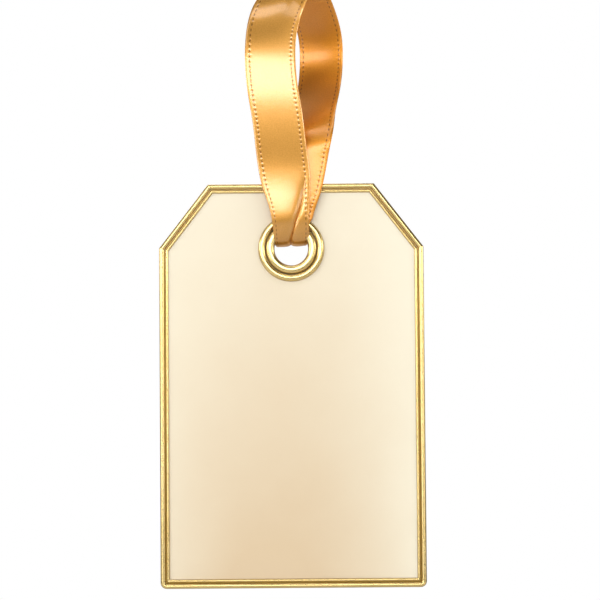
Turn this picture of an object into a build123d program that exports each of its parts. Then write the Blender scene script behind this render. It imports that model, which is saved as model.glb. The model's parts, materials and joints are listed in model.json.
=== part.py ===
from build123d import *
from math import hypot
import os

os.makedirs("parts", exist_ok=True)

# Gift tag: a laminated board in a beaded brass rim, hung by a satin ribbon that is
# looped through a two-piece eyelet and stopped by a knot behind the board.
# Frame: +Z up, the face looks along -Y, the origin is the inside top of the ribbon loop.

# Tag outline
tag_width = 52.5
tag_height = 80.0
corner_cut_across = 9.75
corner_cut_down = 12.65
foot_corner_radius = 1.2
least_corner_radius = 0.15

# Layers of the board
core_thickness = 0.8
film_thickness = 0.1
sheet_thickness = 0.25
edge_clearance = 0.05

# Brass rim, crimped round the board's edge
rim_web = 0.25
rim_back_leg = 0.25
rim_back_width = 1.5
outer_bead_width = 1.05
outer_bead_rise = 0.6
bead_groove_width = 0.15
bead_groove_floor = 0.12
inner_bead_width = 0.64
inner_bead_rise = 0.42
bead_round_share = 0.8
crest_window = 0.01

# Two-piece eyelet
eyelet_below_top = 12.9
bore_radius = 3.35
barrel_wall = 0.3
barrel_clearance = 0.05
lip_radius = 5.1
lip_rise = 0.8
lip_edge = 0.12
washer_gap = 0.05
washer_radius = 6.57
washer_rise = 0.9
washer_edge = 0.25
flange_radius = 5.6
flange_thickness = 0.4
flange_edge = 0.2

# Ribbon
ribbon_width = 10.0
ribbon_thickness = 0.35
strand_gap = 0.1
eyelet_drop = 52.0
loop_sway = 6.25
loop_depth = 10.0
loop_turn = 30.0
running_gap = 0.3
strip_steps = 2

# Neck, where both strands gather and go into the eyelet from the front
fold_rise = 8.5
neck_top_width = 9.0
neck_foot_share = 0.12
neck_brow = 0.6
crease_width = 0.9
crease_depth = 0.35
crease_lean_share = 0.35

# Knot and tails behind the board
knot_width = 9.0
knot_height = 7.0
knot_depth = 5.0
knot_round = 2.2
tail_length = 14.0
tail_root_width = 5.0
tail_drop_share = 0.45
tail_lean = 1.2
overrun = 1.0

# Places worked out from the sizes above
stack_thickness = core_thickness + 2 * film_thickness + 2 * sheet_thickness
face_front = stack_thickness / 2
eyelet_z = -eyelet_drop
top_z = eyelet_z + eyelet_below_top
foot_z = top_z - tag_height
cut_run = hypot(corner_cut_across, corner_cut_down)
rim_front_width = outer_bead_width + bead_groove_width + inner_bead_width
board_inset = rim_web + edge_clearance
board_hole_radius = bore_radius + barrel_wall + barrel_clearance
washer_bore = lip_radius + washer_gap
eyelet_plane = Plane(origin=(0, 0, eyelet_z), x_dir=(1, 0, 0), z_dir=(0, 0, 1))
eyelet_axis = Axis((0, 0, eyelet_z), (0, 1, 0))
bundle_radius = bore_radius - running_gap
bundle_foot = neck_foot_share * bore_radius
rear_strand_y = -(face_front + washer_rise + running_gap + ribbon_thickness / 2)
front_strand_y = rear_strand_y - ribbon_thickness - strand_gap
neck_thickness = 2 * ribbon_thickness + strand_gap
fold_z = eyelet_z + fold_rise
loop_foot_z = fold_z + running_gap / 2
neck_top_z = fold_z - running_gap / 2
loop_height = ribbon_thickness / 2 - loop_foot_z
knot_front_y = face_front + flange_thickness + running_gap
knot_z = eyelet_z + bundle_foot + knot_height / 2


# Outline of the tag drawn in by an inset all round, as a sketch
def tag_face(inset):
    half_width = tag_width / 2 - inset
    drawn_in_across = inset * (cut_run - corner_cut_across) / corner_cut_down
    drawn_in_down = inset * (cut_run - corner_cut_down) / corner_cut_across
    shoulder_x = tag_width / 2 - corner_cut_across - drawn_in_across
    shoulder_z = top_z - corner_cut_down - drawn_in_down
    with BuildSketch() as face:
        with BuildLine():
            Polyline(
                (-half_width, foot_z + inset),
                (half_width, foot_z + inset),
                (half_width, shoulder_z),
                (shoulder_x, top_z - inset),
                (-shoulder_x, top_z - inset),
                (-half_width, shoulder_z),
                close=True,
            )
        make_face()
        corners = face.vertices().group_by(Axis.Y)[0]
        fillet(corners, radius=max(foot_corner_radius - inset, least_corner_radius))
    return face.sketch


# One layer of the board: the tag's outline with the eyelet hole, from a depth forward
def board_layer(back, thickness):
    with BuildPart() as layer:
        with BuildSketch(Plane.XZ.offset(back)):
            add(tag_face(board_inset))
            with Locations((0, eyelet_z)):
                Circle(board_hole_radius, mode=Mode.SUBTRACT)
        extrude(amount=thickness)
    return layer.part


# Rows of numbers on a smooth curve through the given rows, with some steps between each two
def smooth_rows(rows, steps):
    ends = [rows[0], *rows, rows[-1]]
    smooth = []
    for four_rows in zip(ends, ends[1:], ends[2:], ends[3:]):
        for step in range(steps):
            t = step / steps
            row = []
            for a, b, c, d in zip(*four_rows):
                bend = 2 * a - 5 * b + 4 * c - d
                twist = 3 * b - a - 3 * c + d
                row.append(b + t * (c - a + t * (bend + t * twist)) / 2)
            smooth.append(row)
    smooth.append(rows[-1])
    return smooth


# Strip of ribbon through stations, each a place x, y, z, a sideways turn in degrees and a width
def ribbon_strip(stations, across, foot_direction, end_direction):
    rows = smooth_rows(stations, strip_steps)
    points = [Vector(*row[:3]) for row in rows]
    directions = [after - before for before, after in zip(points, points[2:])]
    directions = [foot_direction, *directions, end_direction]
    with BuildPart() as strip:
        for point, direction, row in zip(points, directions, rows):
            turn, width = row[3:]
            section_across = across.rotate(Axis.Z, -turn)
            with BuildSketch(Plane(origin=point, x_dir=section_across, z_dir=direction)):
                Rectangle(width, ribbon_thickness)
        loft(ruled=True)
    return strip.part


# Board layers, from the back sheet to the front sheet
core_back = -core_thickness / 2
front_film_back = core_thickness / 2
back_film_back = core_back - film_thickness
front_sheet_back = front_film_back + film_thickness
layers = {
    "core_board": (core_back, core_thickness),
    "front_adhesive_film": (front_film_back, film_thickness),
    "back_adhesive_film": (back_film_back, film_thickness),
    "front_sheet": (front_sheet_back, sheet_thickness),
    "back_sheet": (-face_front, sheet_thickness),
}
for layer_name, (back, thickness) in layers.items():
    layer_part = board_layer(back, thickness)
    layer_part.label = layer_name
    export_step(layer_part, f"parts/{layer_name}.step")

# Rim: a channel round the board with two beads along its front
with BuildPart() as rim:
    with BuildSketch(Plane.XZ.offset(-face_front - rim_back_leg)):
        add(tag_face(0))
    extrude(amount=rim_back_leg + stack_thickness + outer_bead_rise)
    with BuildSketch(Plane.XZ.offset(-face_front)):
        add(tag_face(rim_web))
    extrude(amount=stack_thickness, mode=Mode.SUBTRACT)
    with BuildSketch(Plane.XZ.offset(-face_front)):
        add(tag_face(rim_back_width))
    extrude(amount=-rim_back_leg - overrun, mode=Mode.SUBTRACT)
    with BuildSketch(Plane.XZ.offset(face_front)):
        add(tag_face(rim_front_width))
    extrude(amount=outer_bead_rise + overrun, mode=Mode.SUBTRACT)
    with BuildSketch(Plane.XZ.offset(face_front + inner_bead_rise)):
        add(tag_face(outer_bead_width))
    extrude(amount=outer_bead_rise + overrun, mode=Mode.SUBTRACT)
    with BuildSketch(Plane.XZ.offset(face_front + bead_groove_floor)):
        add(tag_face(outer_bead_width))
        add(tag_face(outer_bead_width + bead_groove_width), mode=Mode.SUBTRACT)
    extrude(amount=outer_bead_rise + overrun, mode=Mode.SUBTRACT)
    for rise, width in ((outer_bead_rise, outer_bead_width), (inner_bead_rise, inner_bead_width)):
        crest_y = -face_front - rise
        crest_edges = rim.edges().filter_by_position(Axis.Y, crest_y - crest_window, crest_y + crest_window)
        fillet(crest_edges, radius=bead_round_share * min(width / 2, rise - bead_groove_floor))
rim.part.label = "rim"
export_step(rim.part, "parts/rim.step")

# Eyelet washer: the outer ring, a crowned band that sits on the front sheet
with BuildPart() as eyelet_washer:
    with BuildSketch(eyelet_plane):
        with BuildLine():
            Polyline(
                (washer_bore, -face_front - washer_edge),
                (washer_bore, -face_front),
                (washer_radius, -face_front),
                (washer_radius, -face_front - washer_edge),
            )
            ThreePointArc(
                (washer_radius, -face_front - washer_edge),
                ((washer_bore + washer_radius) / 2, -face_front - washer_rise),
                (washer_bore, -face_front - washer_edge),
            )
        make_face()
    revolve(axis=eyelet_axis)
eyelet_washer.part.label = "eyelet_washer"
export_step(eyelet_washer.part, "parts/eyelet_washer.step")

# Eyelet barrel: the tube through the board, its rolled front lip and its back flange
with BuildPart() as eyelet_barrel:
    with BuildSketch(eyelet_plane):
        with BuildLine():
            Polyline(
                (lip_radius, -face_front - lip_edge),
                (lip_radius, -face_front),
                (bore_radius + barrel_wall, -face_front),
                (bore_radius + barrel_wall, face_front),
                (flange_radius, face_front),
                (flange_radius, face_front + flange_edge),
                (flange_radius - flange_edge, face_front + flange_thickness),
                (bore_radius + barrel_wall, face_front + flange_thickness),
                (bore_radius, face_front + flange_edge),
                (bore_radius, -face_front - lip_edge),
            )
            ThreePointArc(
                (bore_radius, -face_front - lip_edge),
                ((bore_radius + lip_radius) / 2, -face_front - lip_rise),
                (lip_radius, -face_front - lip_edge),
            )
        make_face()
    revolve(axis=eyelet_axis)
eyelet_barrel.part.label = "eyelet_barrel"
export_step(eyelet_barrel.part, "parts/eyelet_barrel.step")

# Ribbon loop: up the front strand, over the crown and down the rear strand.
# Shares of the loop's height, sway, depth, turn and widening at each station.
front_strand_shares = (
    (0, -0.06, 0, 0, 0),
    (0.08, -0.12, -0.035, 0, 0.7),
    (0.17, -0.22, -0.062, 0, 1),
    (0.28, -0.317, -0.117, 0, 1),
    (0.39, -0.4, -0.168, 0, 1),
    (0.51, -0.53, -0.201, 0, 1),
    (0.62, -0.605, -0.2095, 0, 1),
    (0.73, -0.605, -0.191, 0, 1),
    (0.84, -0.49, -0.1115, 0.1, 1),
    (0.93, -0.23, 0.015, 0.38, 1),
    (0.985, 0.1, 0.145, 0.74, 1),
    (1, 0.34, 0.285, 0.9, 1),
)
rear_strand_shares = (
    (0.975, 0.55, 0.455, 1, 1),
    (0.91, 0.75, 0.62, 1, 1),
    (0.8, 0.968, 0.77, 1, 1),
    (0.69, 1.008, 0.83, 1, 1),
    (0.58, 0.95, 0.75, 1, 1),
    (0.485, 0.815, 0.53, 0.95, 1),
    (0.41, 0.672, 0.3, 0.65, 1),
    (0.345, 0.583, 0.105, 0.3, 1),
    (0.27, 0.455, 0.008, 0.1, 1),
    (0.22, 0.388, 0, 0.05, 1),
    (0.17, 0.32, 0, 0.03, 1),
    (0.08, 0.2, 0, 0, 0.7),
    (0, 0.105, 0, 0, 0),
)
loop_stations = []
for strand_y, strand_shares in ((front_strand_y, front_strand_shares), (rear_strand_y, rear_strand_shares)):
    for height_share, sway_share, depth_share, turn_share, widening_share in strand_shares:
        loop_stations.append(
            (
                sway_share * loop_sway,
                strand_y + depth_share * loop_depth,
                loop_foot_z + height_share * loop_height,
                turn_share * loop_turn,
                neck_top_width + widening_share * (ribbon_width - neck_top_width),
            )
        )
ribbon_loop = ribbon_strip(loop_stations, Vector(1, 0, 0), Vector(0, 0, 1), Vector(0, 0, -1))
ribbon_loop.label = "ribbon_loop"
export_step(ribbon_loop, "parts/ribbon_loop.step")

# Ribbon neck: both strands gathered over the eyelet and through its upper half
bundle_chord = (bundle_radius**2 - bundle_foot**2) ** 0.5
with BuildPart() as ribbon_neck:
    with BuildSketch(Plane.XZ.offset(-rear_strand_y - ribbon_thickness / 2)):
        with BuildLine():
            Polyline(
                (-bundle_chord, eyelet_z + bundle_foot),
                (bundle_chord, eyelet_z + bundle_foot),
                (neck_top_width / 2, neck_top_z),
                (-neck_top_width / 2, neck_top_z),
                close=True,
            )
        make_face()
    extrude(amount=neck_thickness)
    with BuildSketch(Plane.XZ.offset(-knot_front_y)) as bundle:
        with Locations((0, eyelet_z)):
            Circle(bundle_radius)
        with Locations((0, eyelet_z + bundle_foot)):
            Rectangle(
                2 * bundle_radius,
                2 * bundle_radius,
                align=(Align.CENTER, Align.MAX),
                mode=Mode.SUBTRACT,
            )
    extrude(amount=knot_front_y - front_strand_y + ribbon_thickness / 2)
    brow_edges = ribbon_neck.edges().filter_by(Axis.X).group_by(Axis.Z)[0].sort_by(Axis.Y)[:1]
    fillet(brow_edges, radius=neck_brow)
    with BuildSketch(Plane.XZ.offset(ribbon_thickness / 2 - front_strand_y)):
        with BuildLine():
            Polyline(
                (-crease_width / 2, eyelet_z),
                (crease_width / 2, eyelet_z),
                (crease_lean_share * neck_top_width / 2, fold_z),
                close=True,
            )
        make_face()
    extrude(amount=-crease_depth, mode=Mode.SUBTRACT)
ribbon_neck.part.label = "ribbon_neck"
export_step(ribbon_neck.part, "parts/ribbon_neck.step")

# Knot: the stop behind the eyelet, pulled up against the back flange
with BuildPart() as ribbon_knot:
    with BuildSketch(Plane.XZ.offset(-knot_front_y)):
        with Locations((0, knot_z)):
            RectangleRounded(knot_width, knot_height, knot_round)
    extrude(amount=-knot_depth)
    fillet(ribbon_knot.faces().sort_by(Axis.Y)[-1].edges(), radius=knot_round)
ribbon_knot.part.label = "ribbon_knot"
export_step(ribbon_knot.part, "parts/ribbon_knot.step")

# Tails: the ribbon's two cut ends, splayed sideways from the knot behind the board.
# Shares of the tail's length outward, of its drop, of its lean and of its full width.
tail_shares = (
    (0, 0, 0, 0),
    (0.3, 0.12, 0.5, 0.55),
    (0.65, 0.45, 0.2, 0.9),
    (1, 1, -0.4, 1),
)
tail_root_y = knot_front_y + knot_depth / 2
for side, tail_name in ((-1, "ribbon_tail_left"), (1, "ribbon_tail_right")):
    tail_stations = []
    for out_share, drop_share, lean_share, widening_share in tail_shares:
        tail_stations.append(
            (
                side * (knot_width / 2 + out_share * tail_length),
                tail_root_y + lean_share * tail_lean,
                knot_z - drop_share * tail_drop_share * tail_length,
                0,
                tail_root_width + widening_share * (ribbon_width - tail_root_width),
            )
        )
    tail_end = Vector(side, 0, -1)
    tail = ribbon_strip(tail_stations, Vector(0, 0, 1), Vector(side, 0, 0), tail_end)
    tail.label = tail_name
    export_step(tail, f"parts/{tail_name}.step")
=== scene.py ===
import json
import math
import bpy
import numpy as np
from mathutils import Matrix, Vector


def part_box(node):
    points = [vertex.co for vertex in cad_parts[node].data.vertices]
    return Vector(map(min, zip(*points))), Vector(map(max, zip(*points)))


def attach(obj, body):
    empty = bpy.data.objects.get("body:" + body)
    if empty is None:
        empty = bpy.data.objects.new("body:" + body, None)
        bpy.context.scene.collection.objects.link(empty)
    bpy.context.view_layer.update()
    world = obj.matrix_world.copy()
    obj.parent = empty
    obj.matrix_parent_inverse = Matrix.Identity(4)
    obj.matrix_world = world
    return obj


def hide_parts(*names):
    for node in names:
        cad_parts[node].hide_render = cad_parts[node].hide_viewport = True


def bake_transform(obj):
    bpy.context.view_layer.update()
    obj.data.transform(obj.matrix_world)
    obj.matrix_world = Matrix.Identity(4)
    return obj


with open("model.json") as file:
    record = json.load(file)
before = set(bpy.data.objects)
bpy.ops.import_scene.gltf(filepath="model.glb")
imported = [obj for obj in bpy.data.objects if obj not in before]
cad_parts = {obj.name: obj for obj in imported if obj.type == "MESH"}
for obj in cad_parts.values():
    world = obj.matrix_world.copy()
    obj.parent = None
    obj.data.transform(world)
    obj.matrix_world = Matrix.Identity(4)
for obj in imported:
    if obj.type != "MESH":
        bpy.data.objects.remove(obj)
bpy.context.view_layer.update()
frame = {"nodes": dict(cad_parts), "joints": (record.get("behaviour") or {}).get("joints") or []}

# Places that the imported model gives, in metres
joints = {joint["name"]: joint for joint in frame["joints"]}
eyelet = np.array(joints["tag_swing"]["pos_m"], float)
fold = np.array(joints["tag_tilt"]["pos_m"], float)
rim_low, rim_high = (np.array(corner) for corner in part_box("rim"))
sheet_low = np.array(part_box("front_sheet")[0])
back_high = np.array(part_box("back_sheet")[1])
washer_low, washer_high = (np.array(corner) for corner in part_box("eyelet_washer"))
barrel_low, barrel_high = (np.array(corner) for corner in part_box("eyelet_barrel"))
knot_low, knot_high = (np.array(corner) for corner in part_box("ribbon_knot"))

MM = 0.001

# Tag outline and rim
CUT_ACROSS = 9.75 * MM
CUT_DOWN = 12.65 * MM
FOOT_RADIUS = 1.2 * MM
BEND_RADIUS = 0.3 * MM
LEAST_RADIUS = 0.04 * MM
CORNER_STEPS = 6
RUN_GUARD = 0.4 * MM
OUTER_BEAD = 1.05 * MM
GROOVE = 0.17 * MM
INNER_BEAD = 0.62 * MM
GROOVE_FLOOR = 0.08 * MM
INNER_BEAD_RISE = 0.44 * MM
BACK_LEG = 1.5 * MM
BACK_ROUND = 0.12 * MM
BEAD_STEPS = 12
RIM_SHARP_DEGREES = 50
# How fast the painted groove shade fades from the beads' feet up to their crests
GROOVE_SHADE_FALL = 4

# Eyelet
BORE = 3.35 * MM
LIP = 5.1 * MM
WASHER_BORE = 5.15 * MM
FLANGE = 5.6 * MM
LATHE_STEPS = 160
CROWN_STEPS = 24
CROWN_BULGE = 0.8
WASHER_FOOT = 0.03 * MM
LIP_FOOT = 0.05 * MM
BARREL_WALL = 0.3 * MM
FLANGE_ROUND = 0.1 * MM
RING_SHARP_DEGREES = 60

# Ribbon
RIBBON_WIDTH = 10.0 * MM
RIBBON_THICKNESS = 0.24 * MM
RIBBON_STEP = 0.235 * MM
STITCH_PITCH = 0.94 * MM
STITCH_INSET = 0.92 * MM
STITCH_REACH = 0.17 * MM
STITCH_DEPTH = 0.032 * MM
EDGE_ROUND = 0.15 * MM
EDGE_SHARE = 0.25
EDGE_COLUMNS = np.array([0, 0.06, 0.2, 0.4, 0.6, 0.76, 0.84, 0.92, 1.0, 1.1, 1.3]) * MM
CURVE_STEPS = 24
PANEL_COLUMNS = 30
STRAND_PITCH = 0.45 * MM
SELVEDGE_RISE = 0.03 * MM
LOOP_SWAY = 6.25 * MM
LOOP_DEPTH = 10.0 * MM
LOOP_TURN_DEGREES = 30
LOOP_HALF_THICKNESS = 0.175 * MM
LOOP_CREASE = 0.86

# Crease of the neck: how the panels on its left and right fall, and how the fold lies over it
LEFT_SAG = 0.25
LEFT_DIVE = 0.75
LEFT_DIVE_POWER = 10
RIGHT_SAG = 0.35
RIGHT_FOLD_POWER = 7
DROOP_POWER = 6
FOLD_OVER = 12.0
FOLD_OVER_POWER = 8

# Pearl paper, its painted sheen and shade in shares of the sheet's width and height
PAINTED_SHEEN_ACROSS = 1.73
PAINTED_SHEEN_MIDDLE = 0.44
PAINTED_SHEEN_TOP = 0.25
PAINTED_SHEEN_FALL = 0.85
# Paper colours of the painted sheen: pale where it stands in for the sheen's light, warm and darker where it
# stands in for shade
PAPER_SHEEN_PALE = (0.985, 0.92, 0.735)
PAPER_SHADE_WARM = (0.76, 0.588, 0.377)
PAPER_METALLIC = 0.05
PAPER_ROUGHNESS = (0.46, 0.56)
PAPER_BUMP = 0.05
MOTTLE_SCALE = 70.0
MOTTLE_SHARE = 0.2
PAPER_GRAIN_SCALE = 5200.0

# Board and film
FIBRE_SCALE = 1500.0
FIBRE_STOPS = (0.35, 0.65)

# Brass
BRASS_DARK = (0.8, 0.59, 0.23)
BRASS_LIGHT = (0.85, 0.64, 0.27)
BRASS_STOPS = (0.3, 0.7)
BRASS_ROUGHNESS = (0.23, 0.3)
BRASS_BUMP = 0.006
PATINA_SCALE = 260.0
BRASS_GRAIN_SCALE = 900.0
# Painted shade in the grooves and down the beads' flanks: its colour, how much of it, and how much duller it
# makes the brass
GROOVE_SHADE_COLOUR = (0.28, 0.155, 0.018, 1)
GROOVE_SHADE_COVER = 0.9
GROOVE_SHADE_DULLING = 0.15

# Satin
THREAD_SCALES = (150.0, 4.0, 1.0)
THREAD_SHARE = 0.4
WEAVE_SCALE = 36.0
WEAVE_SHARE = 0.6
SATIN_STOPS = (0.3, 0.7)
SATIN_BUMP = 0.45
SATIN_ANISOTROPY = 0.6
HOLE_COLOUR = (0.25, 0.08, 0.004, 1)
HOLE_POWER = 1.5
HOLE_GAIN = 1.5
HOLE_COVER = 0.9

# Depths of the finest grain, and the sockets of a colour mix
FINE_GRAIN = 0.03 * MM
METAL_GRAIN = 0.02 * MM
MIX_FIRST = 6
MIX_SECOND = 7
MIX_RESULT = 2

# Knot and tails behind the board
KNOT_HALF = np.array([4.2, 1.95, 2.5]) * MM
KNOT_RISE = 0.35 * MM
PLEATS = 6
PLEAT_SHARE = 0.07
PLEAT_TWIST = 2.4
KNOT_ROWS = 28
KNOT_COLUMNS = 72
KNOT_TIP = 0.999
KNOT_TAPER = 2.6
KNOT_SWELL = 0.42
WRAP_HALF = np.array([1.2, 2.3, 2.85]) * MM
WRAP_STEPS = 14
WRAP_START = -1.3
WRAP_OVERLAP = 0.6
WRAP_WIDTH = 0.5
WRAP_FLARE = 0.12
WRAP_CREASE = 0.1
WRAP_CREASE_DEPTH = 0.3 * MM
WRAP_DROOP = 0.5 * MM
TAIL_LENGTH = 14.0 * MM
TAIL_DROP = 6.3 * MM
TAIL_LEAN = 1.2 * MM
TAIL_CUT = 3.0 * MM


# A mesh object from numpy points and faces, in the scene, shaded smooth
def mesh_object(name, points, faces, materials, sharp_degrees=None):
    mesh = bpy.data.meshes.new(name)
    mesh.from_pydata([tuple(p) for p in points], [], [tuple(int(i) for i in f) for f in faces])
    mesh.update()
    mesh.polygons.foreach_set("use_smooth", [True] * len(mesh.polygons))
    if sharp_degrees is not None:
        mesh.set_sharp_from_angle(angle=math.radians(sharp_degrees))
    piece = bpy.data.objects.new(name, mesh)
    bpy.context.scene.collection.objects.link(piece)
    for material in materials:
        mesh.materials.append(material)
    return piece


# Quads of a grid with this many rows and columns, closed round either way where asked
def grid_faces(rows, columns, close_rows=False, close_columns=False):
    starts = np.arange(rows if close_rows else rows - 1)
    sides = np.arange(columns if close_columns else columns - 1)
    row, column = (grid.ravel() for grid in np.meshgrid(starts, sides, indexing="ij"))
    next_row = (row + 1) % rows
    next_column = (column + 1) % columns
    corners = ((row, column), (row, next_column), (next_row, next_column), (next_row, column))
    return np.stack([down * columns + across for down, across in corners], axis=1)


# New UV map from a pair of values at each vertex
def set_uv(piece, per_vertex):
    layer = piece.data.uv_layers.new(name="UVMap")
    index = np.zeros(len(piece.data.loops), np.int32)
    piece.data.loops.foreach_get("vertex_index", index)
    layer.data.foreach_set("uv", np.asarray(per_vertex, np.float32)[index].ravel())


# Share of painted groove shade at each vertex, from 0 on the crests to 1 in the grooves
def set_groove_shade(piece, per_vertex):
    layer = piece.data.attributes.new("tarnish", "FLOAT", "POINT")
    layer.data.foreach_set("value", np.asarray(per_vertex, np.float32).ravel())


# Shader node, with its sockets and settings given by name
def node(tree, kind, **values):
    made = tree.nodes.new(kind)
    for key, value in values.items():
        if key in made.inputs:
            made.inputs[key].default_value = value
        else:
            setattr(made, key, value)
    return made


# New material, with its node tree and its Principled shader
def new_material(name, **values):
    material = bpy.data.materials.new(name)
    material.use_nodes = True
    shader = material.node_tree.nodes["Principled BSDF"]
    for key, value in values.items():
        shader.inputs[key].default_value = value
    return material, material.node_tree, shader


# Colour ramp between two stops of position and colour
def ramp(tree, source, stops):
    made = tree.nodes.new("ShaderNodeValToRGB")
    for element, (position, colour) in zip(made.color_ramp.elements, stops):
        element.position = position
        element.color = (*colour, 1)
    tree.links.new(source, made.inputs["Fac"])
    return made


# Math node on one to three sources or numbers
def maths(tree, operation, first, second=None, third=None):
    made = tree.nodes.new("ShaderNodeMath")
    made.operation = operation
    for socket, value in zip(made.inputs, (first, second, third)):
        if value is None:
            continue
        if isinstance(value, (int, float)):
            socket.default_value = value
        else:
            tree.links.new(value, socket)
    return made.outputs["Value"]


# Pearl paper: champagne, with painted sheen making it paler to the sides and top and painted shade warm and
# darker low in the middle, with fine fibre grain and a faint mottle
def pearl_paper():
    material, tree, shader = new_material("pearl_paper", Metallic=PAPER_METALLIC)
    place = node(tree, "ShaderNodeTexCoord")
    mottle = node(tree, "ShaderNodeTexNoise", Scale=MOTTLE_SCALE, Detail=3.0, Roughness=0.5)
    tree.links.new(place.outputs["Object"], mottle.inputs["Vector"])
    # Painted sheen and shade: warm and darker low in the middle, paler to the sides and top, from shares of
    # the sheet's own width and height
    share = node(tree, "ShaderNodeSeparateXYZ")
    tree.links.new(place.outputs["Generated"], share.inputs["Vector"])
    aside = maths(tree, "MULTIPLY_ADD", share.outputs["X"], PAINTED_SHEEN_ACROSS, -PAINTED_SHEEN_ACROSS * PAINTED_SHEEN_MIDDLE)
    inward = maths(tree, "SUBTRACT", 1.0, maths(tree, "MULTIPLY", aside, aside))
    lower = maths(tree, "MULTIPLY_ADD", share.outputs["Z"], -PAINTED_SHEEN_FALL, PAINTED_SHEEN_TOP + PAINTED_SHEEN_FALL)
    painted_sheen = maths(tree, "MULTIPLY", maths(tree, "MAXIMUM", inward, 0.0), lower)
    # A faint random mottle added on top of the painted sheen and shade
    cloud = maths(tree, "MULTIPLY_ADD", mottle.outputs["Fac"], MOTTLE_SHARE, -MOTTLE_SHARE / 2)
    painted_sheen = maths(tree, "ADD", painted_sheen, cloud)
    colour = ramp(tree, painted_sheen, ((0, PAPER_SHEEN_PALE), (1, PAPER_SHADE_WARM)))
    tree.links.new(colour.outputs["Color"], shader.inputs["Base Color"])
    grain = node(tree, "ShaderNodeTexNoise", Scale=PAPER_GRAIN_SCALE, Detail=4.0, Roughness=0.6)
    tree.links.new(place.outputs["Object"], grain.inputs["Vector"])
    rough = node(tree, "ShaderNodeMapRange")
    rough.inputs["To Min"].default_value, rough.inputs["To Max"].default_value = PAPER_ROUGHNESS
    tree.links.new(grain.outputs["Fac"], rough.inputs["Value"])
    tree.links.new(rough.outputs["Result"], shader.inputs["Roughness"])
    bump = node(tree, "ShaderNodeBump", Strength=PAPER_BUMP, Distance=FINE_GRAIN)
    tree.links.new(grain.outputs["Fac"], bump.inputs["Height"])
    tree.links.new(bump.outputs["Normal"], shader.inputs["Normal"])
    return material


# Plain board or film that hardly shows, with a fibre mottle
def plain_board(name, dark, light, roughness):
    material, tree, shader = new_material(name, Roughness=roughness)
    place = node(tree, "ShaderNodeTexCoord")
    fibre = node(tree, "ShaderNodeTexNoise", Scale=FIBRE_SCALE, Detail=5.0, Roughness=0.65)
    tree.links.new(place.outputs["Object"], fibre.inputs["Vector"])
    colour = ramp(tree, fibre.outputs["Fac"], zip(FIBRE_STOPS, (dark, light)))
    tree.links.new(colour.outputs["Color"], shader.inputs["Base Color"])
    return material


# Lacquered brass: bright gold, with a faint cloudy patina, a soft rolled grain
# and painted shade, dark and duller, in the grooves and down the beads' flanks
def polished_brass():
    material, tree, shader = new_material(
        "polished_brass",
        **{"Metallic": 1.0, "Coat Weight": 0.4, "Coat Roughness": 0.12, "Coat IOR": 1.5},
    )
    place = node(tree, "ShaderNodeTexCoord")
    patina = node(tree, "ShaderNodeTexNoise", Scale=PATINA_SCALE, Detail=3.0, Roughness=0.5)
    tree.links.new(place.outputs["Object"], patina.inputs["Vector"])
    colour = ramp(tree, patina.outputs["Fac"], zip(BRASS_STOPS, (BRASS_DARK, BRASS_LIGHT)))
    tarnish = node(tree, "ShaderNodeAttribute", attribute_name="tarnish").outputs["Fac"]
    shaded = node(tree, "ShaderNodeMix", data_type="RGBA")
    tree.links.new(maths(tree, "MULTIPLY", tarnish, GROOVE_SHADE_COVER), shaded.inputs["Factor"])
    tree.links.new(colour.outputs["Color"], shaded.inputs[MIX_FIRST])
    shaded.inputs[MIX_SECOND].default_value = GROOVE_SHADE_COLOUR
    tree.links.new(shaded.outputs[MIX_RESULT], shader.inputs["Base Color"])
    rough = node(tree, "ShaderNodeMapRange")
    rough.inputs["To Min"].default_value, rough.inputs["To Max"].default_value = BRASS_ROUGHNESS
    tree.links.new(patina.outputs["Fac"], rough.inputs["Value"])
    dulled = maths(tree, "MULTIPLY_ADD", tarnish, GROOVE_SHADE_DULLING, rough.outputs["Result"])
    tree.links.new(dulled, shader.inputs["Roughness"])
    grain = node(tree, "ShaderNodeTexNoise", Scale=BRASS_GRAIN_SCALE, Detail=2.0)
    tree.links.new(place.outputs["Object"], grain.inputs["Vector"])
    bump = node(tree, "ShaderNodeBump", Strength=BRASS_BUMP, Distance=METAL_GRAIN)
    tree.links.new(grain.outputs["Fac"], bump.inputs["Height"])
    tree.links.new(bump.outputs["Normal"], shader.inputs["Normal"])
    return material


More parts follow.
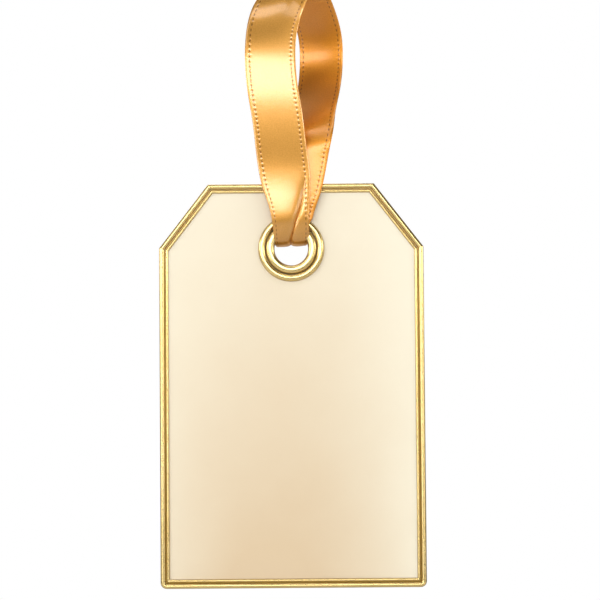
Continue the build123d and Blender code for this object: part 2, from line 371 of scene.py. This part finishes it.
# Satin weave: threads along the ribbon, a row of stitch holes inside each edge.
# The UV map runs in ribbon widths, U across and V along.
def gold_satin(name, dark, light, metallic, roughness, coat, coat_roughness):
    material, tree, shader = new_material(
        name,
        **{"Metallic": metallic, "Roughness": roughness, "Anisotropic": SATIN_ANISOTROPY},
        **{"Coat Weight": coat, "Coat Roughness": coat_roughness, "Coat IOR": 1.8},
    )
    place = node(tree, "ShaderNodeUVMap", uv_map="UVMap")
    split = node(tree, "ShaderNodeSeparateXYZ")
    tree.links.new(place.outputs["UV"], split.inputs["Vector"])
    across = split.outputs["X"]
    along = split.outputs["Y"]
    # Threads, long and thin
    stretch = node(tree, "ShaderNodeMapping")
    stretch.inputs["Scale"].default_value = THREAD_SCALES
    tree.links.new(place.outputs["UV"], stretch.inputs["Vector"])
    thread = node(tree, "ShaderNodeTexNoise", Scale=1.0, Detail=3.0, Roughness=0.6)
    tree.links.new(stretch.outputs["Vector"], thread.inputs["Vector"])
    weave = node(tree, "ShaderNodeTexNoise", Scale=WEAVE_SCALE, Detail=2.0, Roughness=0.7)
    tree.links.new(place.outputs["UV"], weave.inputs["Vector"])
    threads = maths(tree, "MULTIPLY", thread.outputs["Fac"], THREAD_SHARE)
    mixed = maths(tree, "MULTIPLY_ADD", weave.outputs["Fac"], WEAVE_SHARE, threads)
    body = ramp(tree, mixed, zip(SATIN_STOPS, (dark, light)))
    # Stitch holes: a dot every pitch, on a line inside each edge
    from_middle = maths(tree, "ABSOLUTE", maths(tree, "SUBTRACT", across, 0.5))
    stitch_line = 0.5 - STITCH_INSET / RIBBON_WIDTH
    off_line = maths(tree, "ABSOLUTE", maths(tree, "SUBTRACT", from_middle, stitch_line))
    line = maths(tree, "SUBTRACT", 1.0, maths(tree, "DIVIDE", off_line, STITCH_REACH / RIBBON_WIDTH))
    turns = maths(tree, "MULTIPLY", along, 2 * math.pi * RIBBON_WIDTH / STITCH_PITCH)
    beat = maths(tree, "MULTIPLY_ADD", maths(tree, "COSINE", turns), 0.5, 0.5)
    dots = maths(tree, "MULTIPLY", maths(tree, "MAXIMUM", line, 0.0), maths(tree, "POWER", beat, HOLE_POWER))
    dots = maths(tree, "MINIMUM", maths(tree, "MULTIPLY", dots, HOLE_GAIN), HOLE_COVER)
    hole = node(tree, "ShaderNodeMix", data_type="RGBA")
    tree.links.new(dots, hole.inputs["Factor"])
    tree.links.new(body.outputs["Color"], hole.inputs[MIX_FIRST])
    hole.inputs[MIX_SECOND].default_value = HOLE_COLOUR
    tree.links.new(hole.outputs[MIX_RESULT], shader.inputs["Base Color"])
    bump = node(tree, "ShaderNodeBump", Strength=SATIN_BUMP, Distance=FINE_GRAIN)
    tree.links.new(mixed, bump.inputs["Height"])
    tree.links.new(bump.outputs["Normal"], shader.inputs["Normal"])
    tangent = node(tree, "ShaderNodeTangent", direction_type="UV_MAP", uv_map="UVMap")
    tree.links.new(tangent.outputs["Tangent"], shader.inputs["Tangent"])
    return material


# Loop of points round the tag's outline, drawn in by an inset, each corner rounded
def outline_loop(inset):
    half = rim_high[0] - inset
    top = rim_high[2] - inset
    foot = rim_low[2] + inset
    run = math.hypot(CUT_ACROSS, CUT_DOWN)
    shoulder_x = rim_high[0] - CUT_ACROSS - inset * (run - CUT_ACROSS) / CUT_DOWN
    shoulder_z = rim_high[2] - CUT_DOWN - inset * (run - CUT_DOWN) / CUT_ACROSS
    corners = (
        ((-half, foot), FOOT_RADIUS),
        ((half, foot), FOOT_RADIUS),
        ((half, shoulder_z), BEND_RADIUS),
        ((shoulder_x, top), BEND_RADIUS),
        ((-shoulder_x, top), BEND_RADIUS),
        ((-half, shoulder_z), BEND_RADIUS),
    )
    loop = []
    for place, (corner, radius) in enumerate(corners):
        before = np.array(corners[place - 1][0]) - corner
        after = np.array(corners[(place + 1) % len(corners)][0]) - corner
        before /= np.linalg.norm(before)
        after /= np.linalg.norm(after)
        radius = max(radius - inset, LEAST_RADIUS)
        half_angle = math.acos(np.clip(before @ after, -1, 1)) / 2
        reach = radius / math.tan(half_angle)
        inward = (before + after) / np.linalg.norm(before + after)
        centre = np.array(corner) + inward * radius / math.sin(half_angle)
        start = np.array(corner) + before * reach
        stop = np.array(corner) + after * reach
        loop.append(start + before * RUN_GUARD)
        from_angle = math.atan2(*(start - centre)[::-1])
        turn = math.pi - 2 * half_angle
        for step in range(CORNER_STEPS + 1):
            angle = from_angle + turn * step / CORNER_STEPS
            loop.append(centre + radius * np.array([math.cos(angle), math.sin(angle)]))
        loop.append(stop + after * RUN_GUARD)
    return loop


# Bead of a profile: place across, height and painted groove shade, from one side of the bead to the other
def bead_run(start, width, foot, crest):
    run = []
    for step in range(BEAD_STEPS + 1):
        angle = math.pi * step / BEAD_STEPS
        across = start + width / 2 * (1 - math.cos(angle))
        run.append((across, foot + (crest - foot) * math.sin(angle), abs(math.cos(angle)) ** GROOVE_SHADE_FALL))
    return run


# Rim: a beaded brass channel swept round the outline
def make_rim(material):
    front = -sheet_low[1]
    back = -back_high[1]
    crest = -rim_low[1]
    rear = -rim_high[1]
    floor = front + GROOVE_FLOOR
    inner_start = OUTER_BEAD + GROOVE
    inner_stop = inner_start + INNER_BEAD
    profile = [(0.0, rear + BACK_ROUND, 0)]
    profile += bead_run(0, OUTER_BEAD, floor, crest)
    profile += bead_run(inner_start, INNER_BEAD, floor, front + INNER_BEAD_RISE)
    profile += [(inner_stop, front, 1), (inner_start, front, 1), (BACK_ROUND * 2, front, 1)]
    profile += [(BACK_ROUND * 2, back, 1), (BACK_LEG, back, 1), (BACK_LEG, rear + BACK_ROUND, 0)]
    profile += [(BACK_LEG - BACK_ROUND, rear, 0), (BACK_ROUND, rear, 0)]
    loops = []
    tarnish = []
    for inset, forward, share in profile:
        loops.append([(x, -forward, z) for x, z in outline_loop(inset)])
        tarnish.append([share] * len(loops[-1]))
    points = np.array(loops)
    faces = grid_faces(points.shape[0], points.shape[1], True, True)
    piece = mesh_object("rim_looks", points.reshape(-1, 3), faces, [material], RIM_SHARP_DEGREES)
    set_groove_shade(piece, tarnish)
    return piece


# Ring turned about the eyelet's axis from a closed profile of radius, depth and painted groove shade
def turned_ring(name, profile, material, sharp_degrees):
    angles = np.linspace(0, 2 * math.pi, LATHE_STEPS, endpoint=False)
    radii, depths, tarnish = np.array(profile).T
    across = np.cos(angles)[:, None] * radii
    rise = np.sin(angles)[:, None] * radii
    points = np.stack([across, np.broadcast_to(depths, across.shape), eyelet[2] + rise], axis=-1)
    faces = grid_faces(LATHE_STEPS, len(profile), True, True)
    piece = mesh_object(name, points.reshape(-1, 3), faces, [material], sharp_degrees)
    set_groove_shade(piece, np.tile(tarnish, LATHE_STEPS))
    return piece


# Crowned run of a profile from one radius to another, rising to a broad crest
def crown_run(start, stop, base, crest):
    run = []
    for step in range(CROWN_STEPS + 1):
        angle = math.pi * step / CROWN_STEPS
        across = math.copysign(abs(math.cos(angle)) ** CROWN_BULGE, math.cos(angle))
        rise = math.sin(angle) ** CROWN_BULGE
        place = (start + stop) / 2 - (stop - start) / 2 * across
        run.append((place, base + (crest - base) * rise, abs(math.cos(angle)) ** GROOVE_SHADE_FALL))
    return run


# Eyelet washer: the outer ring
def make_washer(material):
    face = sheet_low[1]
    radius = washer_high[0]
    profile = crown_run(WASHER_BORE, radius, face - WASHER_FOOT, washer_low[1])
    profile += [(radius, face, 1), (WASHER_BORE, face, 1)]
    return turned_ring("eyelet_washer_looks", profile, material, RING_SHARP_DEGREES)


# Eyelet barrel: the rolled lip, the tube and the back flange
def make_barrel(material):
    face = sheet_low[1]
    wall = BORE + BARREL_WALL
    back = back_high[1]
    rear = barrel_high[1]
    profile = crown_run(BORE, LIP, face - LIP_FOOT, barrel_low[1])
    profile += [(LIP, face, 1), (wall, face, 1), (wall, back, 1), (FLANGE, back, 1)]
    profile += [(FLANGE, rear - 2 * FLANGE_ROUND, 0.5), (FLANGE - FLANGE_ROUND / 2, rear - FLANGE_ROUND, 0.2)]
    profile += [(FLANGE - 2 * FLANGE_ROUND, rear, 0), (wall + 2 * FLANGE_ROUND, rear, 0)]
    profile += [(wall, rear - FLANGE_ROUND / 2, 0), (BORE + FLANGE_ROUND / 2, rear - 2.5 * FLANGE_ROUND, 0.3)]
    profile += [(BORE, rear - 5 * FLANGE_ROUND, 0.6)]
    return turned_ring("eyelet_barrel_looks", profile, material, RING_SHARP_DEGREES)


# Rows of numbers on a smooth curve through the given rows, with some steps between each two:
# a cubic spline along the path that their first three numbers give
def smooth_rows(rows, steps):
    rows = np.asarray(rows, float)
    gaps = np.linalg.norm(np.diff(rows[:, :3], axis=0), axis=1)
    slopes = np.diff(rows, axis=0) / gaps[:, None]
    balance = np.eye(len(rows))
    pull = np.zeros_like(rows)
    for place in range(1, len(rows) - 1):
        before, after = gaps[place - 1], gaps[place]
        balance[place, place - 1 : place + 2] = (before, 2 * (before + after), after)
        pull[place] = 6 * (slopes[place] - slopes[place - 1])
    bends = np.linalg.solve(balance, pull)
    smooth = []
    for place, gap in enumerate(gaps):
        t = (np.arange(steps) / steps)[:, None]
        line = rows[place] * (1 - t) + rows[place + 1] * t
        sag = bends[place] * ((1 - t) ** 3 - (1 - t)) + bends[place + 1] * (t**3 - t)
        smooth += list(line + sag * gap**2 / 6)
    smooth.append(rows[-1])
    return np.array(smooth)


# Rows again, evenly spaced along the path that their first three numbers give, and their distances along it
def even_rows(rows, step):
    runs = np.linalg.norm(np.diff(rows[:, :3], axis=0), axis=1)
    reach = np.concatenate([[0], np.cumsum(runs)])
    count = max(int(round(reach[-1] / step)), 2)
    wanted = np.linspace(0, reach[-1], count + 1)
    even = np.stack([np.interp(wanted, reach, column) for column in rows.T], axis=1)
    return even, wanted


# Places across the ribbon, in metres from its left edge, closer at the selvedges
def column_places():
    start = EDGE_COLUMNS[-1]
    between = np.linspace(start, RIBBON_WIDTH - start, PANEL_COLUMNS + 1)[1:-1]
    return np.concatenate([EDGE_COLUMNS, between, RIBBON_WIDTH - EDGE_COLUMNS[::-1]])


# Height of a lengthwise pleat across the ribbon: the left panel dives into the crease, the right one
# starts in front of it at a rounded fold, and the outer edges droop
def crease_heights(t, crease, depth, droop):
    left = np.clip((t + 1) / (crease + 1), 0, 1)
    right = np.clip((t - crease) / (1 - crease), 0, 1)
    left_fall = LEFT_SAG * left**2 + LEFT_DIVE * left**LEFT_DIVE_POWER
    right_fall = RIGHT_SAG * right + (1 - right) ** RIGHT_FOLD_POWER
    left_lobe = -depth * left_fall - droop * (1 - left) ** DROOP_POWER
    right_lobe = -depth * right_fall - droop * right**DROOP_POWER
    return np.where(t < crease, left_lobe, right_lobe)


# Sideways shift that lays the right panel's fold over the crease
def crease_shifts(t, crease, depth):
    right = np.clip((t - crease) / (1 - crease), 0, 1)
    return -FOLD_OVER * depth * right * (1 - right) ** FOLD_OVER_POWER


# Thickness of the cloth above its middle: corded edges, then a row of beads with holes between
def cloth_heights(places, reach):
    edge = np.minimum(places, RIBBON_WIDTH - places)
    beat = np.cos(2 * np.pi * reach / STITCH_PITCH)[:, None]
    row = np.exp(-(((edge - STITCH_INSET) / STITCH_REACH) ** 2))
    cord = SELVEDGE_RISE * np.sin(np.pi * np.clip(edge / STITCH_INSET, 0, 1))
    return RIBBON_THICKNESS / 2 * np.clip(edge / EDGE_ROUND, EDGE_SHARE, 1) + cord - STITCH_DEPTH * row * beat


# Ribbon strip through rows of place x, y, z, sideways turn, width, crease place, crease depth and edge droop.
# Its outer face takes the first material and its inner face the second. Its length comes back with it.
def ribbon_strip(name, rows, across_axis, materials, end_cut=0.0):
    rows, reach = even_rows(smooth_rows(rows, CURVE_STEPS), RIBBON_STEP)
    centre = rows[:, :3]
    ahead = np.gradient(centre, axis=0)
    ahead /= np.linalg.norm(ahead, axis=1)[:, None]
    across = np.array([Matrix.Rotation(-turn, 3, "Z") @ Vector(across_axis) for turn in rows[:, 3]])
    across -= (across * ahead).sum(1)[:, None] * ahead
    across /= np.linalg.norm(across, axis=1)[:, None]
    outward = np.cross(across, ahead)
    places = column_places()
    t = places / RIBBON_WIDTH * 2 - 1
    lift = crease_heights(t, rows[:, 5, None], rows[:, 6, None], rows[:, 7, None])
    cloth = cloth_heights(places, reach)
    slant = -end_cut * (t + 1) / 2 * (reach[:, None] / reach[-1]) ** 2
    base = centre[:, None] + across[:, None] * (t * rows[:, 4, None] / 2)[..., None]
    base = base + ahead[:, None] * slant[..., None]
    base = base + across[:, None] * crease_shifts(t, rows[:, 5, None], rows[:, 6, None])[..., None]
    outer = base + outward[:, None] * (lift + cloth)[..., None]
    inner = base + outward[:, None] * (lift - cloth)[..., None]
    ring = np.concatenate([outer, inner[:, ::-1]], axis=1)
    count, columns = ring.shape[:2]
    faces = [list(f) for f in grid_faces(count, columns, False, True)[:, ::-1]]
    sides = [int(place % columns >= len(places)) for place in range((count - 1) * columns)]
    faces += [list(range(columns)), list(range((count - 1) * columns, count * columns))[::-1]]
    piece = mesh_object(name, ring.reshape(-1, 3), faces, materials)
    piece.data.polygons.foreach_set("material_index", sides + [0, 0])
    u = np.concatenate([places, places[::-1]]) / RIBBON_WIDTH
    v = reach / RIBBON_WIDTH
    set_uv(piece, np.stack(np.broadcast_arrays(u[None, :], v[:, None]), axis=-1).reshape(-1, 2))
    return piece, reach[-1]


# Loop's stations: shares of its height, sway, depth, turn, and the width there as a share of the ribbon's.
FRONT_STRAND_SHARES = (
    (0.17, -0.22, -0.062, 0, 1),
    (0.28, -0.317, -0.117, 0, 1),
    (0.39, -0.4, -0.168, 0, 1),
    (0.51, -0.53, -0.201, 0, 1),
    (0.62, -0.605, -0.2095, 0, 1),
    (0.73, -0.605, -0.191, 0, 1),
    (0.84, -0.49, -0.1115, 0.1, 1),
    (0.93, -0.23, 0.015, 0.38, 1),
    (0.985, 0.1, 0.145, 0.74, 1),
    (1, 0.34, 0.285, 0.9, 1),
)
REAR_STRAND_SHARES = (
    (0.975, 0.55, 0.455, 1, 1),
    (0.91, 0.75, 0.62, 1, 1),
    (0.8, 0.968, 0.77, 1, 1),
    (0.69, 1.008, 0.83, 1, 1),
    (0.58, 0.95, 0.75, 1, 1),
    (0.485, 0.815, 0.53, 0.95, 1),
    (0.41, 0.672, 0.3, 0.65, 1),
    (0.345, 0.583, 0.105, 0.3, 1),
    (0.27, 0.455, 0.008, 0.1, 1),
    (0.22, 0.388, 0, 0.05, 1),
    (0.17, 0.32, 0, 0.03, 1),
    (0.08, 0.2, 0, 0, 0.97),
)
# Neck's stations in bore radii from the eyelet's centre, up the front strand and down the rear one:
# place across, depth, height and width, then the crease's place from -1 to 1, its depth and the edge droop.
FRONT_NECK_SHARES = (
    (0.015, 1.015, 0.866, 1.194, 0.02, 0.09, 0.03),
    (0.015, 0.627, 0.388, 1.373, 0.02, 0.134, 0.03),
    (0.015, 0.418, 0.224, 1.552, 0.02, 0.179, 0.03),
    (0.015, 0.209, 0.149, 1.761, 0.02, 0.224, 0.03),
    (0.015, -0.06, 0.209, 1.94, 0.02, 0.254, 0.03),
    (0.015, -0.328, 0.403, 2.06, 0.04, 0.269, 0.03),
    (0.015, -0.537, 0.657, 2.104, 0.08, 0.269, 0.03),
    (0.015, -0.672, 0.896, 2.134, 0.14, 0.263, 0.03),
    (0.006, -0.782, 1.254, 2.164, 0.24, 0.257, 0.024),
    (-0.018, -0.857, 1.642, 2.209, 0.36, 0.254, 0.018),
    (-0.045, -0.887, 2.03, 2.284, 0.49, 0.239, 0.012),
    (-0.084, -0.896, 2.448, 2.388, 0.6, 0.209, 0.006),
    (-0.137, -0.899, 2.925, 2.537, 0.69, 0.155, 0),
    (-0.206, -0.9, 3.403, 2.716, 0.76, 0.09, 0),
    (-0.278, -0.908, 3.881, 2.866, 0.82, 0.036, 0),
    (-0.346, -0.926, 4.358, 2.955, 0.86, 0.009, 0),
)
REAR_NECK_SHARES = (
    (0.179, -0.627, 2.806, 2.746, 0.4, -0.03, 0),
    (0.09, -0.603, 2.149, 2.537, 0.3, -0.06, 0),
    (0.036, -0.588, 1.672, 2.299, 0.25, -0.06, 0),
    (0.03, -0.567, 1.373, 1.97, 0.2, -0.06, 0),
    (0.03, -0.478, 1.075, 1.672, 0.1, -0.045, 0),
    (0.03, -0.328, 0.881, 1.463, 0, -0.03, 0),
    (0.03, -0.119, 0.776, 1.373, 0, 0.03, 0),
    (0.03, 0.149, 0.746, 1.313, 0, 0.06, 0),
    (0.03, 0.418, 0.746, 1.254, 0, 0.06, 0),
    (0.03, 0.716, 0.851, 1.194, 0, 0.06, 0),
    (0.03, 1.03, 1.104, 1.149, 0, 0.06, 0),
)
# Tails' stations from inside the knot: shares of the way out, drop and lean, width as a share of the
# ribbon's, then the crease's place from -1 to 1, its depth and the edge droop in ribbon widths.
TAIL_SHARES = (
    (-0.15, 0, 0, 0.42, 0.1, 0.05, 0.03),
    (0, 0.01, 0.05, 0.5, 0.1, 0.06, 0.03),
    (0.14, 0.04, 0.3, 0.63, 0.12, 0.055, 0.02),
    (0.32, 0.13, 0.5, 0.8, 0.15, 0.035, 0.01),
    (0.52, 0.29, 0.4, 0.93, 0.15, 0.015, 0),
    (0.75, 0.58, 0.1, 1, 0.15, 0, 0),
    (1, 1, -0.4, 1, 0.15, 0, 0),
)


# Rows of the strip from stations of the neck
def neck_rows(shares):
    rows = []
    for across, depth, rise, width, crease, crease_depth, droop in shares:
        place = eyelet + BORE * np.array([across, depth, rise])
        rows.append((*place, 0, width * BORE, crease, crease_depth * BORE, droop * BORE))
    return rows


# Rows of the strip from stations of one strand of the loop
def strand_rows(shares, strand_y, foot, height):
    rows = []
    for rise, sway, depth, turn, width in shares:
        place = (sway * LOOP_SWAY, strand_y + depth * LOOP_DEPTH, foot + rise * height)
        rows.append((*place, math.radians(turn * LOOP_TURN_DEGREES), width * RIBBON_WIDTH, LOOP_CREASE, 0, 0))
    return rows


# Ribbon: out of the knot, through the eyelet, up the front strand, over and back again
def make_ribbon(materials):
    loop_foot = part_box("ribbon_loop")[0][2]
    height = LOOP_HALF_THICKNESS - loop_foot
    front_y = fold[1] + LOOP_HALF_THICKNESS
    rear_y = front_y + STRAND_PITCH
    rows = neck_rows(FRONT_NECK_SHARES)
    rows += strand_rows(FRONT_STRAND_SHARES, front_y, loop_foot, height)
    rows += strand_rows(REAR_STRAND_SHARES, rear_y, loop_foot, height)
    rows += neck_rows(REAR_NECK_SHARES)
    return ribbon_strip("ribbon", rows, (1, 0, 0), materials)


# Knot's core: a pleated lump lying across the eyelet
def make_knot(material):
    middle = (knot_low + knot_high) / 2 + np.array([0, 0, KNOT_RISE])
    along = np.linspace(-1, 1, KNOT_ROWS)
    round_it = np.linspace(0, 2 * math.pi, KNOT_COLUMNS, endpoint=False)
    swell = (1 - KNOT_TIP * np.abs(along) ** KNOT_TAPER) ** KNOT_SWELL
    pleat = 1 + PLEAT_SHARE * np.cos(PLEATS * round_it[None, :] + PLEAT_TWIST * along[:, None])
    size = swell[:, None] * pleat
    offsets = np.stack(
        [
            np.broadcast_to(along[:, None], size.shape),
            size * np.cos(round_it),
            size * np.sin(round_it),
        ],
        axis=-1,
    )
    points = middle + offsets * KNOT_HALF
    faces = [list(f) for f in grid_faces(KNOT_ROWS, KNOT_COLUMNS, False, True)]
    last = (KNOT_ROWS - 1) * KNOT_COLUMNS
    faces += [list(range(KNOT_COLUMNS)), list(range(last, last + KNOT_COLUMNS))[::-1]]
    piece = mesh_object("knot_core", points.reshape(-1, 3), faces, [material])
    u = np.broadcast_to(round_it / (2 * math.pi), size.shape)
    v = np.broadcast_to((points[:, :1, 0] - knot_low[0]) / RIBBON_WIDTH, size.shape)
    set_uv(piece, np.stack([u, v], axis=-1).reshape(-1, 2))
    return piece


# Knot's wrap: the turn of ribbon drawn tight round the core
def make_wrap(materials):
    middle = (knot_low + knot_high) / 2 + np.array([0, 0, KNOT_RISE])
    rows = []
    for step in range(WRAP_STEPS + 1):
        angle = WRAP_START + (2 * math.pi + WRAP_OVERLAP) * step / WRAP_STEPS
        around = np.array([math.cos(angle), math.sin(angle), math.cos(angle)])
        place = middle + WRAP_HALF * around
        width = (WRAP_WIDTH + WRAP_FLARE * math.sin(angle)) * RIBBON_WIDTH
        rows.append((*place, 0, width, WRAP_CREASE, WRAP_CREASE_DEPTH, WRAP_DROOP))
    return ribbon_strip("knot_wrap", rows, (1, 0, 0), materials)[0]


# Tail: a cut end of the ribbon, out of the knot to one side
def make_tail(name, side, materials):
    root = (knot_low + knot_high) / 2
    rows = []
    for out, drop, lean, width, crease, depth, droop in TAIL_SHARES:
        place = root + np.array([0, lean * TAIL_LEAN, -drop * TAIL_DROP])
        place[0] = side * (knot_high[0] + out * TAIL_LENGTH)
        fold_in = (crease, depth * RIBBON_WIDTH, droop * RIBBON_WIDTH)
        rows.append((*place, 0, width * RIBBON_WIDTH, *fold_in))
    return ribbon_strip(name, rows, (0, 0, 1), materials, TAIL_CUT)[0]


paper = pearl_paper()
board = plain_board("grey_board", dark=(0.32, 0.3, 0.27), light=(0.42, 0.4, 0.36), roughness=0.85)
film = plain_board("clear_film", dark=(0.75, 0.72, 0.66), light=(0.8, 0.78, 0.72), roughness=0.4)
brass = polished_brass()
satin = gold_satin(
    "satin_face",
    dark=(0.63, 0.285, 0.036),
    light=(0.83, 0.408, 0.08),
    metallic=0.8,
    roughness=0.4,
    coat=0.8,
    coat_roughness=0.16,
)
# Back face of the satin: duller by its own finish, while its deeper orange is painted shade and painted light
# bounced inside the loop
satin_back = gold_satin(
    "satin_back",
    dark=(0.66, 0.245, 0.013),
    light=(0.84, 0.34, 0.028),
    metallic=0.85,
    roughness=0.44,
    coat=0.48,
    coat_roughness=0.2,
)

for node_name, material in (
    ("front_sheet", paper),
    ("back_sheet", paper),
    ("core_board", board),
    ("front_adhesive_film", film),
    ("back_adhesive_film", film),
):
    slots = frame["nodes"][node_name].data.materials
    slots.clear()
    slots.append(material)

for make, cad_node in ((make_rim, "rim"), (make_washer, "eyelet_washer"), (make_barrel, "eyelet_barrel")):
    piece = make(brass)
    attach(piece, "tag")
    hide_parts(cad_node)

ribbon, ribbon_length = make_ribbon([satin, satin_back])
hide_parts("ribbon_loop", "ribbon_neck")
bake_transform(ribbon)
knot_pieces = [
    (make_knot(satin), "ribbon_knot"),
    (make_wrap([satin, satin_back]), "ribbon_knot"),
    (make_tail("tail_left", -1, [satin, satin_back]), "ribbon_tail_left"),
    (make_tail("tail_right", 1, [satin, satin_back]), "ribbon_tail_right"),
]
for piece, cad_node in knot_pieces:
    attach(piece, "ribbon_knot")
    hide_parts(cad_node)

# Camera: in front and a little low, set to the photograph's frame of 600 by 600 pixels
IMAGE = 600
CAMERA_DISTANCE = 0.5
FRAME_SCALE = 0.1987 * MM
TARGET = Vector((1.658 * MM, 0, -62.21 * MM))
ELEVATION_DEGREES = -3.276
AZIMUTH_DEGREES = 0.241
ROLL_DEGREES = -0.45
CLIP_START = 0.01
camera_data = bpy.data.cameras.new("camera")
camera = bpy.data.objects.new("camera", camera_data)
bpy.context.scene.collection.objects.link(camera)
elevation = math.radians(ELEVATION_DEGREES)
azimuth = math.radians(AZIMUTH_DEGREES)
level = math.cos(elevation)
back = Vector((math.sin(azimuth) * level, -math.cos(azimuth) * level, math.sin(elevation)))
right = Vector((math.cos(azimuth), math.sin(azimuth), 0))
up = back.cross(right)
turn = Matrix((right, up, back)).transposed() @ Matrix.Rotation(math.radians(ROLL_DEGREES), 3, "Z")
camera.matrix_world = Matrix.Translation(TARGET + CAMERA_DISTANCE * back) @ turn.to_4x4()
camera_data.lens = camera_data.sensor_width * CAMERA_DISTANCE / (IMAGE * FRAME_SCALE)
camera_data.clip_start = CLIP_START
bpy.context.scene.camera = camera

# Soft boxes: name, place, width and height in metres, and power in watts
LAMPS_LOOK_AT = Vector((0, 0, -0.06))
SOFT_BOXES = (
    ("front_box", (-0.08, -1.0, 0.11), (0.65, 0.2), 3.15),
    ("top_box", (0, -0.33, 0.45), (0.4, 0.14), 0.5),
    ("key_box", (-0.3, -0.45, 0.33), (0.3, 0.3), 0.5),
    ("left_strip", (-0.47, -0.17, 0.03), (0.6, 0.1), 0.95),
    ("right_strip", (0.47, -0.17, 0.03), (0.6, 0.1), 0.95),
    ("left_low_strip", (-0.32, -0.38, -0.1), (0.3, 0.05), 0.24),
    ("right_low_strip", (0.32, -0.38, -0.1), (0.3, 0.05), 0.15),
    ("back_box", (-0.15, 0.45, 0.32), (0.4, 0.3), 1.8),
)
for name, place, size, energy in SOFT_BOXES:
    lamp = bpy.data.lights.new(name, "AREA")
    lamp.shape = "RECTANGLE"
    lamp.size, lamp.size_y = size
    lamp.energy = energy
    holder = bpy.data.objects.new(name, lamp)
    holder.location = place
    holder.rotation_euler = (LAMPS_LOOK_AT - Vector(place)).to_track_quat("-Z", "Y").to_euler()
    bpy.context.scene.collection.objects.link(holder)

# World: white to the camera, a share of white in what reflections see behind the object, dim for the rest
BEHIND_FROM = -0.35
BEHIND_TO = 0.15
MIRRORED_SHARE = 0.3
WORLD_DIM = 0.07
WORLD_WHITE = 1.0
world = bpy.data.worlds.new("studio")
bpy.context.scene.world = world
world.use_nodes = True
tree = world.node_tree
background = tree.nodes["Background"]
rays = node(tree, "ShaderNodeLightPath")
heading = node(tree, "ShaderNodeTexCoord")
parts = node(tree, "ShaderNodeSeparateXYZ")
tree.links.new(heading.outputs["Generated"], parts.inputs["Vector"])
behind = node(tree, "ShaderNodeMapRange")
behind.inputs["From Min"].default_value = BEHIND_FROM
behind.inputs["From Max"].default_value = BEHIND_TO
tree.links.new(parts.outputs["Y"], behind.inputs["Value"])
mirrored = maths(tree, "MAXIMUM", rays.outputs["Is Glossy Ray"], rays.outputs["Is Transmission Ray"])
mirrored = maths(tree, "MULTIPLY", mirrored, MIRRORED_SHARE)
mirrored = maths(tree, "MULTIPLY", mirrored, behind.outputs["Result"])
seen = maths(tree, "MAXIMUM", rays.outputs["Is Camera Ray"], mirrored)
strength = maths(tree, "MULTIPLY_ADD", seen, WORLD_WHITE - WORLD_DIM, WORLD_DIM)
tree.links.new(strength, background.inputs["Strength"])
background.inputs["Color"].default_value = (1, 1, 1, 1)

# Floor, well below the hanging tag
FLOOR_DROP = 0.1
FLOOR_SIZE = 1.2
FLOOR_COLOUR = (0.8, 0.79, 0.77, 1)
FLOOR_ROUGHNESS = 0.8
floor_values = {"Base Color": FLOOR_COLOUR, "Roughness": FLOOR_ROUGHNESS}
floor_material = new_material("pale_floor", **floor_values)[0]
half_floor = FLOOR_SIZE / 2
floor_height = rim_low[2] - FLOOR_DROP
corners = [(x * half_floor, y * half_floor, floor_height) for x, y in ((-1, -1), (1, -1), (1, 1), (-1, 1))]
floor = mesh_object("floor", corners, [(0, 1, 2, 3)], [floor_material])

bpy.context.scene.view_settings.view_transform = "Standard"
